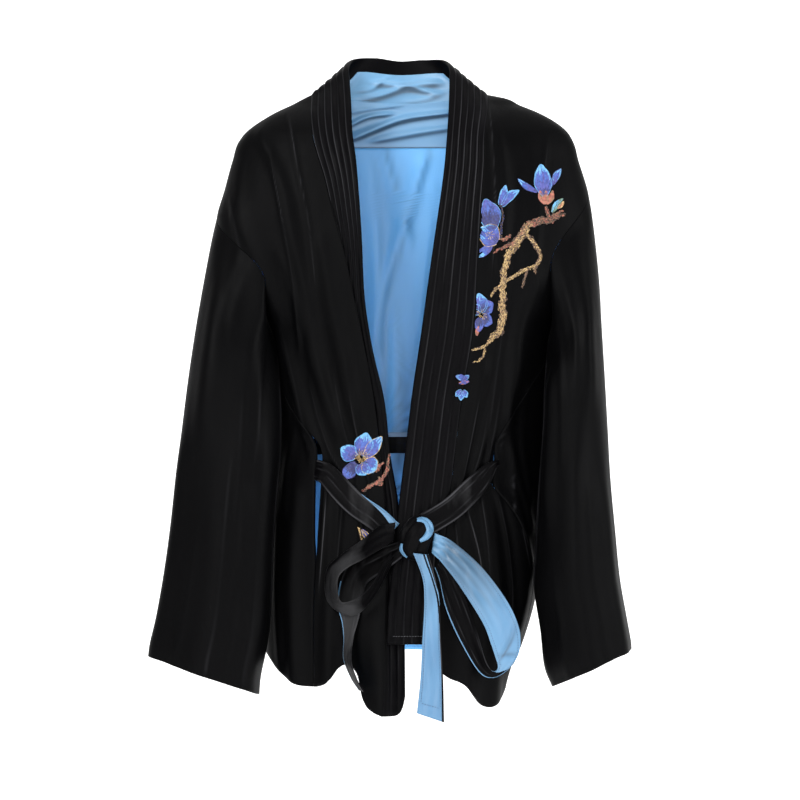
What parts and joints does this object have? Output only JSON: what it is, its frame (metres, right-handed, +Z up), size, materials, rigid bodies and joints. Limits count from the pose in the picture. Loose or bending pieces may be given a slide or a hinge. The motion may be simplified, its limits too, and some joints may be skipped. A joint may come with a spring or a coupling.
{
  "type": "velvet wrap jacket",
  "caption": "Open wrap jacket in velvet with wide sleeves, a channel-stitched collar band, satin lining and a sash tied in a bow, filled out as if worn.",
  "frame": {"origin": "middle of the neck opening, at the height of the back neck line, where a wearer's neck and shoulders hold the jacket", "axes": "+Z up, -Y out of the front, +X to the viewer's right facing the front"},
  "size_m": [0.5192, 0.1991, 0.717],
  "materials": {
    "velvet": "black silk velvet pile",
    "satin": "sky blue satin lining",
    "belt_velvet": "black silk velvet pile",
    "belt_satin": "blue satin face of the sash"
  },
  "bodies": {
    "root": {"left_front": "velvet", "right_front": "velvet", "back_panel": "velvet", "left_sleeve": "velvet", "right_sleeve": "velvet", "collar_band": "velvet", "neck_facing": "satin", "yoke_lining": "satin", "back_lining": "satin", "belt": "belt_velvet", "knot": "belt_velvet", "left_loop": "belt_velvet", "right_loop": "belt_satin", "long_tail": "belt_satin", "short_tail": "belt_velvet"}
  },
  "joints": []
}
